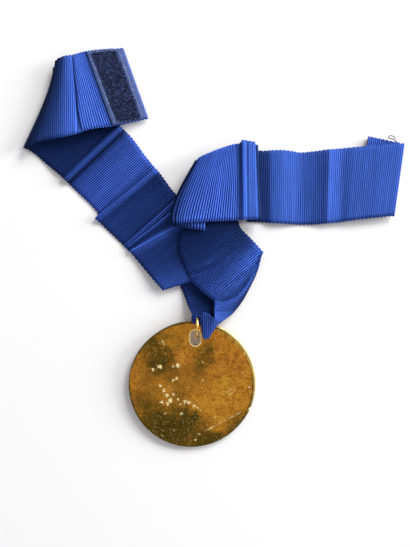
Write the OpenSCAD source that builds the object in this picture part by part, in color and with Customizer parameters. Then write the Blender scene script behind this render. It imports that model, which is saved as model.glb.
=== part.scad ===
// A round medal lying face down on its corded ribbon's jump ring.
// X runs to the right, Y away from the viewer, Z up. The surface that
// everything lies on is Z = 0, and the origin is the middle of the object.

/* [Ribbon] */
// Width of the ribbon between its two selvages
ribbon_w = 38; // [36:0.5:40]
// Thickness of the ribbon's cloth wall
ribbon_t = 1; // [0.8:0.05:1]
// Height that each further layer adds where the ribbon is bunched up
bunch_t = 0.22; // [0.1:0.02:0.24]

/* [Medal] */
// Diameter of the struck front disc, which faces down
front_d = 62; // [58:0.5:63]
// Thickness of the front disc at its rim
front_t = 1.3; // [1:0.1:1.4]
// Diameter of the plain back plate, which faces up
back_d = 62; // [58:0.5:63]
// Thickness of the back plate
back_t = 1.1; // [0.8:0.1:1.1]
// Radius of the rounded rim edges
rim_round = 0.4; // [0.1:0.05:0.5]
// How far the back plate sits off the front disc, to the left
back_off_x = 1.1; // [0:0.1:1.3]
// How far the back plate sits off the front disc, towards the viewer
back_off_y = 0.7; // [0:0.1:0.9]
// Angle at which the jump ring props up the medal's top edge
medal_tilt = 2.2; // [2.2:0.05:2.3]
// Width of the hanging slot
slot_w = 5; // [4.6:0.1:5.4]
// Length of the hanging slot
slot_l = 7.6; // [7.2:0.1:8]
// Width of the raised lip round the slot
lip_w = 0.7; // [0.5:0.1:0.9]
// Height of the lip above the back plate
lip_h = 0.3; // [0.2:0.05:0.4]

/* [Jump ring] */
// Diameter of the ring's wire
wire_d = 1.2; // [1:0.05:1.2]
// Diameter of the ring at the middle of its wire
ring_d = 10.4; // [10.4:0.1:10.6]

/* [Patches] */
// Length of each fastening patch, across the ribbon
patch_l = 35; // [30:0.5:35]
// Width of each fastening patch, along the ribbon
patch_w = 16; // [10:0.5:16]
// Thickness of the soft loop patch with its pile
loop_t = 2; // [1.5:0.1:2.5]
// Thickness of the hook patch
hook_t = 1.3; // [1:0.1:1.3]
// Gap left between a piece and the piece it is sewn to or rests on
seat_gap = 0.3; // [0.2:0.05:0.35]

/* [Wire loop] */
// Diameter of the thin wire loop at the folded end
loop_wire_d = 0.5; // [0.4:0.05:0.6]

/* [Hidden] */
$fn = 96;

// Steps in the half turn of a fold
fold_parts = 6;
// Sides of the thin wire's tube
wire_sides = 8;

// Moves the object's box so that its middle is the origin
shift = [-0.26, 0.72, 0];

// Middle of the front disc, the slot and the jump ring on the surface
medal_at = [-10.3, -68.2];
slot_at = [-9.3, -45.6];
ring_at = [-8.35, -39.9];

// Columns of the ribbon's tables. A row crosses the ribbon from selvage A,
// the lower left one at the start of the left band, to selvage B. Each end has
// a place and the height of the cloth's middle. A row with two more columns is
// a fold, and they are how far each end rises or drops in the half turn.
AX = 0;
AY = 1;
AZ = 2;
BX = 3;
BY = 4;
BZ = 5;
A_RISE = 6;
B_RISE = 7;

// The end with the loop patch, lying over the left band, to the soft left fold
LEFT_END = [
    [-32.8, 63.6, 1.8, -45.2, 98.5, 1.0],
    [-51.0, 59.3, 4.7, -63.5, 96.3, 3.6],
    [-68.0, 55.0, 6.0, -70.3, 94.3, 4.4],
    [-77.0, 53.3, 6.6, -74.2, 93.4, 4.8],
    [-85.0, 51.8, 6.4, -77.3, 91.9, 4.8],
    [-94.0, 50.0, 5.8, -80.5, 90.0, 4.4, -5.3, -3.9],
];

// The left band, with its raised crease and its two steps
LEFT_BAND = [
    [-89.5, 46.3, 0.5, -72.0, 82.5, 0.5],
    [-84.0, 41.5, 0.8, -61.0, 72.3, 0.8],
    [-76.0, 34.8, 1.7, -49.0, 61.3, 1.5],
    [-74.0, 33.0, 2.6, -46.5, 59.0, 2.1],
    [-72.5, 31.5, 1.0, -44.8, 57.5, 0.9],
    [-70.5, 29.5, 0.5, -42.5, 55.3, 0.5],
    [-59.0, 17.5, 0.5, -32.5, 42.3, 0.5],
    [-59.0, 13.8, 2.0, -29.0, 38.0, 2.1],
    [-57.0, 12.0, 0.9, -27.0, 36.0, 1.0],
    [-52.0, 7.3, 0.5, -23.5, 31.0, 0.5],
    [-46.0, 1.5, 0.5, -19.5, 25.5, 0.6],
    [-44.3, 0.0, 0.6, -17.0, 25.0, 1.5],
    [-43.4, -0.9, 0.7, -15.0, 22.5, 0.8],
    [-42.8, -1.5, 1.0, -12.5, 19.8, 1.4],
    [-42.1, -2.2, 2.0, -9.5, 15.7, 2.8],
];

// The dark panel below the left band, its hidden return and the drop to the ring
LOWER_PANEL = [
    [-40.5, -4.0, 1.5, -7.5, 13.3, 2.6],
    [-37.0, -8.3, 2.0, -4.0, 9.5, 3.1],
    [-31.5, -15.0, 3.0, 1.0, 1.5, 3.2],
    [-25.5, -22.0, 3.3, 8.0, -11.5, 3.3, -1.3, -1.3],
    [-23.0, -8.5, 2.0, 9.0, -2.5, 2.0, -1.5, -1.5],
    [-16.5, -20.5, 0.5, 13.0, -7.0, 0.5],
];

// The bunched ribbon down to the ring, through it and up to the light flap
BUNCH = [
    [-14.3, -25.5, 1.6, 10.0, -17.0, 0.9],
    [-12.8, -29.5, 3.4, 4.0, -24.5, 2.8],
    [-12.0, -31.8, 4.2, -5.0, -28.3, 6.0],
    [-12.2, -34.5, 4.9, -11.2, -32.5, 8.3],
    [-10.6, -37.9, 5.4, -10.6, -37.3, 8.5],
    [-8.3, -38.8, 5.4, -8.3, -38.6, 8.5],
    [-6.2, -39.6, 5.6, -6.2, -38.4, 8.6],
    [-5.0, -45.0, 6.2, -5.0, -38.7, 8.8],
    [-2.5, -44.0, 6.2, -3.2, -37.8, 9.0],
    [1.3, -40.0, 5.9, -2.0, -36.8, 8.8],
    [5.0, -36.8, 5.0, -0.2, -35.0, 8.4],
    [9.5, -34.0, 3.6, 0.0, -32.5, 8.0],
    [14.5, -28.5, 2.4, 0.1, -30.3, 7.8],
    [17.8, -21.5, 2.2, 0.2, -28.8, 7.6],
    [22.3, -10.0, 2.4, 0.3, -28.0, 7.5],
];

// The rounded panel right of the ring, up to the fold hidden under the top panel
RIGHT_PANEL = [
    [24.0, -3.0, 2.6, 0.3, -27.3, 7.4],
    [23.3, -2.0, 2.6, -1.3, -26.8, 6.0],
    [18.0, 3.5, 3.6, -6.0, -22.5, 5.4],
    [11.0, 11.0, 4.0, -11.0, -17.5, 5.0],
    [11.0, 18.0, 4.2, -15.0, -9.0, 4.8],
    [11.0, 23.0, 4.4, -17.5, 0.0, 4.7],
    [3.0, 34.0, 4.4, -18.5, 5.0, 4.6],
    [-4.0, 41.0, 3.8, -20.0, 8.5, 4.6],
    [-8.4, 43.5, 3.2, -21.2, 10.3, 4.6, 3.4, 1.4],
];

// The top panel and its standing pleat
TOP_PANEL = [
    [-3.5, 45.3, 6.7, -13.0, 11.4, 6.2],
    [4.0, 48.0, 6.4, -4.5, 12.0, 6.2],
    [10.0, 49.7, 5.5, 8.0, 12.5, 6.0],
    [12.5, 50.0, 4.4, 14.0, 12.8, 5.0],
    [13.5, 51.4, 6.6, 15.0, 12.9, 6.4],
    [16.5, 50.9, 7.6, 17.0, 13.1, 7.2],
    [19.5, 50.1, 7.2, 20.5, 13.3, 7.0],
    [21.2, 48.3, 4.8, 22.8, 13.2, 4.8],
];

// The right band, which lies nearly flat, and its end folded under
RIGHT_BAND = [
    [22.0, 47.5, 1.4, 23.8, 12.4, 1.4],
    [26.0, 47.0, 0.6, 26.5, 11.8, 0.6],
    [32.0, 47.6, 1.3, 31.5, 11.5, 1.0],
    [38.5, 46.9, 0.6, 38.0, 11.2, 0.5],
    [44.5, 46.6, 1.5, 46.8, 10.9, 1.3],
    [52.0, 47.1, 0.7, 52.0, 11.1, 0.6],
    [57.5, 47.7, 1.5, 57.0, 11.5, 1.4],
    [63.0, 48.2, 2.1, 62.4, 12.0, 2.1],
    [69.5, 48.8, 3.5, 66.5, 12.6, 3.5],
    [94.5, 50.5, 3.5, 89.5, 15.0, 3.5, -1.4, -1.4],
    [76.0, 54.5, 2.1, 71.0, 19.2, 2.1],
];

// The wire loop's own route: an eye that closes on itself, then its tail
WIRE_ROUTE = [
    [91.0, 51.1, 3.2],
    [89.8, 52.4, 3.2],
    [88.4, 53.2, 3.2],
    [87.0, 53.2, 3.2],
    [86.3, 53.8, 3.3],
    [86.9, 54.5, 3.5],
    [88.2, 54.6, 3.6],
    [89.2, 54.0, 3.7],
    [90.0, 53.0, 3.8],
];

function unit(v) = v / norm(v);
function mean(p, q) = (p + q) / 2;
function a_end(row) = [row[AX], row[AY], row[AZ]];
function b_end(row) = [row[BX], row[BY], row[BZ]];
function is_fold(row) = len(row) > A_RISE;

// Number of cloth layers in a bunched row: the ribbon's width over the row's
function layers(row) = max(1, ribbon_w / norm(b_end(row) - a_end(row)));

// Level direction across a fold line, away from the row before it
function outward(row, before) =
    let (
        line = [row[BX] - row[AX], row[BY] - row[AY], 0],
        side = unit([line.y, -line.x, 0]),
        back = mean(a_end(before), b_end(before)) - mean(a_end(row), b_end(row))
    )
    side * back < 0 ? side : -side;

// A point on the half turn of a fold whose end p rises by rise
function turned(p, out, rise, angle) =
    p + out * abs(rise) / 2 * (sin(angle) - 1) + [0, 0, rise * (1 - cos(angle)) / 2];

// Stations of the ribbon, each [end A, end B, half the thickness]
function fold_stations(row, before) =
    let (out = outward(row, before))
    [for (k = [0:fold_parts])
        let (angle = 180 * k / fold_parts)
        [turned(a_end(row), out, row[A_RISE], angle),
         turned(b_end(row), out, row[B_RISE], angle),
         ribbon_t / 2]];

function flat_stations(rows) =
    [for (i = [0:len(rows) - 1])
        each is_fold(rows[i])
            ? fold_stations(rows[i], rows[max(0, i - 1)])
            : [[a_end(rows[i]), b_end(rows[i]), ribbon_t / 2]]];

function bunch_stations(rows) =
    [for (row = rows)
        [a_end(row), b_end(row), (ribbon_t + (layers(row) - 1) * bunch_t) / 2]];

function middle(station) = mean(station[0], station[1]);

// Direction square to the cloth at station i, from its neighbours and its row
function square_to(stations, i) =
    let (
        last = len(stations) - 1,
        along = middle(stations[min(last, i + 1)]) - middle(stations[max(0, i - 1)])
    )
    unit(cross(along, stations[i][1] - stations[i][0]));

// A closed wall swept through stations, from lo to hi times the half thickness
module wall(stations, lo = -1, hi = 1) {
    last = len(stations) - 1;
    points = [for (i = [0:last])
        let (
            n = square_to(stations, i) * stations[i][2],
            a = stations[i][0],
            b = stations[i][1]
        )
        each [a + n * lo, b + n * lo, b + n * hi, a + n * hi]];
    sides = [for (i = [0:last - 1], k = [0:3])
        let (p = 4 * i + k, q = 4 * i + (k + 1) % 4)
        each [[p, q, p + 4], [q, q + 4, p + 4]]];
    caps = [
        [0, 3, 2], [0, 2, 1],
        [4 * last, 4 * last + 1, 4 * last + 2], [4 * last, 4 * last + 2, 4 * last + 3],
    ];
    polyhedron(points = points, faces = concat(sides, caps));
}

// A round tube along a route, with flat ends
module tube(route, diameter, sides) {
    last = len(route) - 1;
    points = [for (i = [0:last])
        let (
            along = unit(route[min(last, i + 1)] - route[max(0, i - 1)]),
            side = unit(cross(along, [0, 0, 1])),
            up = cross(side, along)
        )
        each [for (k = [0:sides - 1])
            let (angle = 360 * k / sides)
            route[i] + (side * cos(angle) + up * sin(angle)) * diameter / 2]];
    around = [for (i = [0:last - 1], k = [0:sides - 1])
        let (p = sides * i + k, q = sides * i + (k + 1) % sides)
        each [[p, p + sides, q], [q, p + sides, q + sides]]];
    start = [for (k = [1:sides - 2]) [0, k, k + 1]];
    finish = [for (k = [1:sides - 2]) [sides * last, sides * last + k + 1, sides * last + k]];
    polyhedron(points = points, faces = concat(around, start, finish));
}

// A disc from z = 0 to its thickness, with rounded rim edges
module rounded_disc(diameter, thickness) {
    r = diameter / 2;
    round_r = min(rim_round, thickness / 2 - 0.05);
    rotate_extrude() {
        square([r - round_r, thickness]);
        translate([0, round_r]) square([r, thickness - 2 * round_r]);
        for (level = [round_r, thickness - round_r])
            translate([r - round_r, level]) circle(r = round_r, $fn = 32);
    }
}

// An upright slot with round ends, from bottom to top
module slot(width, length, bottom, top) {
    run = length - width;
    translate([-width / 2, -run / 2, bottom]) cube([width, run, top - bottom]);
    for (side = [-1, 1])
        translate([0, side * run / 2, bottom]) cylinder(d = width, h = top - bottom);
}

// Continuous corded ribbon, from the loop patch through the ring to the fold
module ribbon() {
    before_ring = flat_stations(concat(LEFT_END, LEFT_BAND, LOWER_PANEL));
    after_ring = flat_stations(concat(RIGHT_PANEL, TOP_PANEL, RIGHT_BAND));
    color("royalblue")
        translate(shift)
            wall(concat(before_ring, bunch_stations(BUNCH), after_ring));
}

// Front disc and back plate soldered together, with the lipped hanging slot
module medal_disc() {
    slot_y = slot_at.y - medal_at.y;
    slot_x = slot_at.x - medal_at.x;
    top = front_t + back_t;
    color("goldenrod")
        translate(shift + [medal_at.x, medal_at.y - front_d / 2, 0])
            rotate([medal_tilt, 0, 0])
                translate([0, front_d / 2, 0])
                    difference() {
                        union() {
                            rounded_disc(front_d, front_t);
                            translate([-back_off_x, -back_off_y, front_t - 0.2])
                                rounded_disc(back_d, back_t + 0.2);
                            translate([slot_x, slot_y, 0])
                                slot(slot_w + 2 * lip_w, slot_l + 2 * lip_w, 0.5, top + lip_h);
                        }
                        translate([slot_x, slot_y, 0])
                            slot(slot_w, slot_l, -1, top + lip_h + 1);
                    }
}

// Round jump ring that stands on edge through the slot
module jump_ring() {
    color("gold")
        translate(shift + [ring_at.x, ring_at.y, (ring_d + wire_d) / 2])
            rotate([0, 90, 0])
                rotate_extrude()
                    translate([ring_d / 2, 0]) circle(d = wire_d, $fn = 48);
}

// Soft loop patch, sewn to the upper face of the ribbon's left end
module loop_patch() {
    edge = 1 - patch_w / norm(a_end(LEFT_END[0]) - a_end(LEFT_END[1]));
    inset = (1 - patch_l / ribbon_w) / 2;
    start = LEFT_END[0];
    rows = [for (t = [0.02, 1 - edge - 0.02])
        let (
            a = a_end(start) + (a_end(LEFT_END[1]) - a_end(start)) * t,
            b = b_end(start) + (b_end(LEFT_END[1]) - b_end(start)) * t
        )
        [a + (b - a) * inset, b + (a - b) * inset, 1]];
    low = ribbon_t / 2 + seat_gap;
    color("midnightblue")
        translate(shift) wall(rows, -low - loop_t, -low);
}

// Plain hook patch, hidden under the end that is folded under
module hook_patch() {
    last = len(RIGHT_BAND) - 1;
    a = a_end(RIGHT_BAND[last]);
    b = b_end(RIGHT_BAND[last]);
    lean = atan2(a.x - b.x, a.y - b.y);
    color("navy")
        translate(shift + [b.x, b.y, 0])
            rotate([0, 0, -lean])
                translate([1, (norm(a - b) - patch_l) / 2 + 0.3, 0])
                    cube([patch_w, patch_l - 0.6, hook_t]);
}

// Thin wire loop that sticks out beside the folded end
module wire_loop() {
    color("darkolivegreen")
        translate(shift) tube(WIRE_ROUTE, loop_wire_d, wire_sides);
}

ribbon();
medal_disc();
jump_ring();
loop_patch();
hook_patch();
wire_loop();
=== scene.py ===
import math
from collections import namedtuple

import bpy
import numpy as np
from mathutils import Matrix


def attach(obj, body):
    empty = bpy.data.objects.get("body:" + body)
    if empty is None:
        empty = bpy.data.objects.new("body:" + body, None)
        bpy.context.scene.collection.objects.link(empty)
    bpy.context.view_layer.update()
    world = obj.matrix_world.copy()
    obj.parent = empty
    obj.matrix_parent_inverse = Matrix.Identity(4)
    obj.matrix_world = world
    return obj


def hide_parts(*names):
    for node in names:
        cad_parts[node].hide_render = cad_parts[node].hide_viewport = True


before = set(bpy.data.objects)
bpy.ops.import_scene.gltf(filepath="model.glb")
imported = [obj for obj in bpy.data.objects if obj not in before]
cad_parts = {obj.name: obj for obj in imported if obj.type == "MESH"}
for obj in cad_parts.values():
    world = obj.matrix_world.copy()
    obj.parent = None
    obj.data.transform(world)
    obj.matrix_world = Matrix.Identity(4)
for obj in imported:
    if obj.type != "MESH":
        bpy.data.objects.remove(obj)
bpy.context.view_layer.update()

MM = 0.001

# The camera looks straight down on the laid-out medal from a hand's height
# above a table, as the photo does.
FRAME_WIDTH = 205 * MM
CAMERA_AT = (-4.8 * MM, -13.0 * MM, 420 * MM)
SENSOR_WIDTH = 36


def new_piece(name, data):
    piece = bpy.data.objects.new(name, data)
    bpy.context.collection.objects.link(piece)
    return piece


camera_data = bpy.data.cameras.new("camera")
camera_data.sensor_fit = "HORIZONTAL"
camera_data.sensor_width = SENSOR_WIDTH
camera_data.lens = SENSOR_WIDTH * CAMERA_AT[2] / FRAME_WIDTH
camera_data.clip_start = 0.01
camera = new_piece("camera", camera_data)
camera.location = CAMERA_AT
bpy.context.scene.camera = camera


# The medal is a struck brass disc with a plain back plate soldered on, then
# gilt. The gilding is tarnished brown and olive, pitted and scratched, and it
# is worn to pale metal in spots and along the rim. Light is painted on it too:
# the pale band along the rim, strong on the side the light falls on, and the
# pale lip round the slot are painted highlights as well as wear, a dark line
# on the back plate's bevel there is a painted shadow, and the dark patches are
# partly a painted reflection of the dark room, with some patches painting the
# gilding lighter.
BACK_PLATE_MIDDLE = (-11.66 * MM, -68.18 * MM, 0)
SLOT_MIDDLE = (-9.56 * MM, -44.88 * MM, 0)
SLOT_HALF_STRAIGHT = 1.3 * MM
LIP_RADIUS = 2.8 * MM
BRIGHT_SIDE = (0.85, 0.53, 0)
FROM_ABOVE = (1, 1, 0)


def new_material(name):
    material = bpy.data.materials.new(name)
    material.use_nodes = True
    return material, material.node_tree, material.node_tree.nodes["Principled BSDF"]


def new_group(name, inputs, outputs, kind="ShaderNodeTree"):
    """A node group with its inputs and the node for its results."""
    tree = bpy.data.node_groups.new(name, kind)
    for socket, sort, value in inputs:
        made = tree.interface.new_socket(socket, in_out="INPUT", socket_type="NodeSocket" + sort)
        if value is not None:
            made.default_value = value
    for socket, sort in outputs:
        tree.interface.new_socket(socket, in_out="OUTPUT", socket_type="NodeSocket" + sort)
    return tree, tree.nodes.new("NodeGroupInput").outputs, tree.nodes.new("NodeGroupOutput")


def join(tree, node, values):
    """Sets inputs of a node by number or name, or links them to a socket or to a node's first output."""
    for socket, value in values.items():
        if isinstance(value, bpy.types.Node):
            value = value.outputs[0]
        if isinstance(value, bpy.types.NodeSocket):
            tree.links.new(value, node.inputs[socket])
        else:
            node.inputs[socket].default_value = value


def put(tree, kind, values=None, **settings):
    node = tree.nodes.new(kind)
    for key, value in settings.items():
        setattr(node, key, value)
    join(tree, node, values or {})
    return node


def maths(tree, operation, first, second=0.0, third=0.0, clamp=False):
    values = {0: first, 1: second, 2: third}
    return put(tree, "ShaderNodeMath", values, operation=operation, use_clamp=clamp)


def plus(tree, first, second):
    return maths(tree, "ADD", first, second)


def times(tree, first, second):
    return maths(tree, "MULTIPLY", first, second)


def vectors(tree, operation, *values):
    """The result of a vector calculation, which for some is a number."""
    node = put(tree, "ShaderNodeVectorMath", dict(enumerate(values)), operation=operation)
    return node.outputs["Value" if operation in ("DISTANCE", "DOT_PRODUCT", "LENGTH") else "Vector"]


def combined(tree, x, y, z=0.0):
    return put(tree, "ShaderNodeCombineXYZ", {0: x, 1: y, 2: z})


def noise(tree, place, scale, detail, roughness=0.5, output=0):
    return put(tree, "ShaderNodeTexNoise", {
        "Vector": place, "Scale": scale, "Detail": detail, "Roughness": roughness}).outputs[output]


def stretch(tree, value, low, high, to_low=0.0, to_high=1.0):
    return put(tree, "ShaderNodeMapRange", {0: value, 1: low, 2: high, 3: to_low, 4: to_high},
               interpolation_type="SMOOTHSTEP")


def blended(tree, factor, first, second, mode="MIX"):
    values = {0: factor, 6: first, 7: second}
    return put(tree, "ShaderNodeMix", values, data_type="RGBA", blend_type=mode).outputs[2]


def shaded(tree, colour, shade):
    grey = put(tree, "ShaderNodeCombineColor", {0: shade, 1: shade, 2: shade})
    return blended(tree, 1.0, colour, grey, "MULTIPLY")


def dent(tree, shader, strength, distance, height):
    bump = put(tree, "ShaderNodeBump", {"Strength": strength, "Distance": distance, "Height": height})
    join(tree, shader, {"Normal": bump})


def separated(tree, vector):
    return put(tree, "ShaderNodeSeparateXYZ", {0: vector}).outputs


def own_place(tree):
    return put(tree, "ShaderNodeTexCoord").outputs["Object"]


def gilt_group():
    """Tarnished gilding, with masks of its worn spots and painted highlights, and of its tarnish and painted
    light and shade, as inputs.
    """
    tree, given, out = new_group("tarnished gilding", [
        ("Gilt", "Color", (0.9, 0.42, 0.07, 1)), ("Copper", "Color", (0.6, 0.2, 0.04, 1)),
        ("Tarnish", "Color", (0.2, 0.13, 0.02, 1)), ("Bare Metal", "Color", (1.0, 0.86, 0.46, 1)),
        ("Tarnish Amount", "Float", 0.4), ("Tarnish And Painted Light", "Float", 0.0), ("Worn And Painted Highlight", "Float", 0.0)], [
        ("Color", "Color"), ("Roughness", "Float"), ("Height", "Float")])
    place = own_place(tree)
    broad = put(tree, "ShaderNodeTexNoise", {
        "Vector": place, "Scale": 70, "Detail": 5, "Roughness": 0.65}).outputs
    fine = noise(tree, place, 420, 6, 0.75)
    grit = noise(tree, place, 1300, 3, 0.65)
    # Tarnish and the painted light and shade add up here: positive darkens the gilding, negative paints it
    # lighter.
    cloud = plus(tree, plus(tree, broad[0], times(tree, fine, 0.9)), given["Tarnish And Painted Light"])
    level = maths(tree, "SUBTRACT", 1.4, times(tree, given["Tarnish Amount"], 0.7))
    dark = stretch(tree, maths(tree, "SUBTRACT", cloud, level), -0.26, 0.3)
    red = stretch(tree, broad["Color"], 0.42, 0.62)
    gilt = blended(tree, times(tree, red, 0.5), given["Gilt"], given["Copper"])
    mottle = stretch(tree, fine, 0.32, 0.7, 0.62, 1.35)
    speck = stretch(tree, grit, 0.3, 0.7, 0.7, 1.3)
    colour = shaded(tree, blended(tree, dark, gilt, given["Tarnish"]), times(tree, mottle, speck))
    chips = stretch(tree, plus(tree, grit, times(tree, dark, 0.06)), 0.69, 0.74)
    # Pale bare metal where the gilding is worn, at chips, and where a highlight is painted.
    worn_and_highlight = maths(tree, "MAXIMUM", given["Worn And Painted Highlight"], times(tree, chips, 0.7), clamp=True)
    height = plus(tree, times(tree, fine, 0.5), times(tree, grit, 0.3))
    join(tree, out, {
        "Color": blended(tree, worn_and_highlight, colour, given["Bare Metal"]),
        "Roughness": plus(tree, plus(tree, 0.2, times(tree, dark, 0.14)), times(tree, worn_and_highlight, 0.4)),
        "Height": times(tree, height, maths(tree, "SUBTRACT", 1.0, worn_and_highlight))})
    return tree


GILDING = gilt_group()


def gilt_material(name, gilt, tarnish, amount, bump, masks):
    material, tree, shader = new_material(name)
    values = {"Gilt": gilt, "Tarnish": tarnish, "Tarnish Amount": amount}
    values.update({socket: mask(tree) for socket, mask in masks.items()})
    made = put(tree, "ShaderNodeGroup", values, node_tree=GILDING).outputs
    join(tree, shader, {"Base Color": made["Color"], "Roughness": made["Roughness"], "Metallic": 1.0})
    dent(tree, shader, bump, 0.0002, made["Height"])
    return material


# Each worn spot on the back: x, y and radius in mm
WORN_SPOTS = [
    (-30.5, -60.5, 1), (-27, -59.2, 1.5), (-18.3, -58.4, 1.6), (-20.6, -59, 0.7),
    (-19, -65, 1.1), (-20.6, -66, 0.8), (-26.8, -68.7, 0.9), (-25, -71, 1.2), (-23.6, -73.4, 1.2),
    (-20.4, -73, 1), (-22, -76, 1.6), (-23.2, -77.6, 1.2), (-26.2, -77, 1), (-18.2, -75.4, 0.8),
    (-17, -77.8, 0.7), (-14.6, -76.6, 1.3), (-12.8, -77.2, 1.2), (-10.2, -78.8, 0.9), (-8.2, -79.6, 0.6),
    (-7, -80.8, 0.5), (-16.4, -82.6, 0.8), (-24.6, -82.6, 0.6), (-20.4, -90.8, 0.7), (-25.8, -46.6, 0.6),
    (-5.6, -57, 0.6), (-13, -69.6, 0.6), (-5.8, -65.6, 0.5), (0.2, -84.4, 0.5), (13.8, -62, 0.5),
    (17.2, -69.6, 0.6), (17.6, -80.6, 1.2), (11.2, -91.4, 0.9), (-9.6, -95.8, 0.6), (-7.6, -92.6, 0.6),
]
# Each scratch on the back: from x, y to x, y, and its width in mm
SCRATCHES = [
    (-4.6, -91.2, 13, -81.8, 0.3), (-4, -90.9, 0.2, -88.6, 0.6), (4.2, -73, 9.8, -69.2, 0.3),
    (7.4, -73.4, 10.6, -70.4, 0.25), (-9.6, -78.6, -6.6, -81.4, 0.3), (-26, -45.6, -24.8, -48.4, 0.3),
    (-24, -68, -21, -71, 0.35),
]
# Each patch of tarnish and painted reflection of the dark room: x, y, radius in mm and strength, where a
# negative strength paints the gilding lighter
TARNISH_AND_PAINTED_REFLECTIONS = [
    (-29, -50, 9, 0.26), (-24, -58, 9, 0.2), (-34, -60, 6, 0.1), (-31, -85, 10, 0.26), (-21, -88, 9, 0.22),
    (-14, -84, 6, 0.3), (-9, -96, 13, 0.26), (-24, -94, 9, 0.2), (6, -94, 9, 0.22), (14, -87, 6, 0.1),
    (-38, -72, 9, 0.1), (-24, -74, 8, 0.12), (-6, -56, 5, 0.2), (-2, -62, 6, 0.14), (-14, -65, 8, 0.1),
    (14, -60, 16, -0.45), (4, -78, 10, -0.24), (-13, -52, 6, -0.12), (7, -45, 9, -0.25), (-8, -74, 7, -0.1),
]


def uneven(tree, place, scale, detail, roughness, reach):
    """The place as seen from above, moved about by noise so that outlines on it are uneven."""
    wobble = noise(tree, place, scale, detail, roughness, "Color")
    shift = vectors(tree, "SUBTRACT", wobble, (0.5, 0.5, 0.5))
    return vectors(tree, "MULTIPLY", vectors(tree, "MULTIPLY_ADD", shift, (reach,) * 3, place), FROM_ABOVE)


def spot(tree, flat, x, y, far, near, strength=1.0):
    away = vectors(tree, "DISTANCE", flat, (x * MM, y * MM, 0))
    return stretch(tree, away, far, near, 0.0, strength)


def gathered(tree, operation, masks):
    total = masks[0]
    for mask in masks[1:]:
        total = maths(tree, operation, total, mask)
    return total


def scratch(tree, level, gaps, x0, y0, x1, y1, width):
    start, end = np.array((x0, y0, 0)) * MM, np.array((x1, y1, 0)) * MM
    length = float(np.linalg.norm(end - start))
    run = (end - start) / length
    from_start = vectors(tree, "SUBTRACT", level, tuple(start))
    along = vectors(tree, "DOT_PRODUCT", from_start, tuple(run))
    across = vectors(tree, "DOT_PRODUCT", from_start, (-run[1], run[0], 0))
    near = stretch(tree, maths(tree, "ABSOLUTE", across), width * MM * 0.6, width * MM * 0.25)
    inside = maths(tree, "COMPARE", along, length / 2, length / 2)
    return times(tree, times(tree, near, inside), gaps)


def edge(tree, level, inner, outer, lower_left, upper_right):
    """Mask that sets in between two radii of the back plate, in mm, as strong as given at two sides."""
    rim = stretch(tree, vectors(tree, "DISTANCE", level, BACK_PLATE_MIDDLE), inner * MM, outer * MM)
    toward = vectors(tree, "DOT_PRODUCT", level, BRIGHT_SIDE)
    return times(tree, rim, stretch(tree, toward, -30 * MM, -18 * MM, lower_left, upper_right))


def lip(tree, level):
    """Mask of the raised lip round the slot, a rounded oblong."""
    parts = separated(tree, vectors(tree, "SUBTRACT", level, SLOT_MIDDLE))
    past_straight = maths(tree, "SUBTRACT", maths(tree, "ABSOLUTE", parts[1]), SLOT_HALF_STRAIGHT)
    from_bend = combined(tree, parts[0], maths(tree, "MAXIMUM", past_straight, 0.0))
    away = maths(tree, "SUBTRACT", vectors(tree, "LENGTH", from_bend), LIP_RADIUS)
    return stretch(tree, maths(tree, "ABSOLUTE", away), 0.36 * MM, 0.16 * MM)


def wear_and_painted_highlights(tree):
    """Mask of all that is pale metal: worn spots and scratches, and the slot's lip and the rim, which are
    painted highlights as well as wear.
    """
    place = own_place(tree)
    flat = uneven(tree, place, 900, 3, 0.6, 3.0 * MM)
    masks = [spot(tree, flat, x, y, radius * MM * 0.9, radius * MM * 0.45) for x, y, radius in WORN_SPOTS]
    gaps = stretch(tree, noise(tree, place, 1300, 1), 0.42, 0.5)
    level = vectors(tree, "MULTIPLY", place, FROM_ABOVE)
    masks += [scratch(tree, level, gaps, *sizes) for sizes in SCRATCHES]
    # The rim band, faint at the lower left and strong on the side the light falls on, is a painted highlight
    # as well as wear, and so is the lip.
    return gathered(tree, "MAXIMUM", masks + [lip(tree, level), edge(tree, level, 31.05, 31.2, 0.05, 0.6)])


def tarnish_and_painted_light(tree):
    """How dark the gilding is painted: tarnish with painted reflection in patches, and a painted shadow line
    on the back plate's bevel.
    """
    place = own_place(tree)
    flat = uneven(tree, place, 110, 4, 0.7, 22.0 * MM)
    masks = [spot(tree, flat, x, y, radius * MM * 1.35, radius * MM * 0.3, strength)
             for x, y, radius, strength in TARNISH_AND_PAINTED_REFLECTIONS]
    level = vectors(tree, "MULTIPLY", place, FROM_ABOVE)
    # Painted shadow from the back plate's bevel outwards, strongest on the side the light falls on; there the
    # second mask takes it off the rim beyond the plate.
    bevel = [edge(tree, level, 30.1, 30.5, 0.35, 1.0), edge(tree, level, 31.05, 31.15, 0.0, -1.0)]
    return gathered(tree, "ADD", masks + bevel)


def dress(node, material):
    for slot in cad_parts[node].material_slots:
        slot.material = material


dress("medal_disc", gilt_material(
    "medal gilding", (1.0, 0.45, 0.05, 1), (0.15, 0.1, 0.014, 1), 0.5, 0.12,
    {"Worn And Painted Highlight": wear_and_painted_highlights, "Tarnish And Painted Light": tarnish_and_painted_light}))

# The jump ring is round brass wire bent into a ring and gilt. It stands on
# edge through the slot and carries the ribbon.
dress("jump_ring", gilt_material(
    "ring gilding", (1.0, 0.66, 0.18, 1), (0.6, 0.33, 0.06, 1), 0.15, 0.05, {}))


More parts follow.
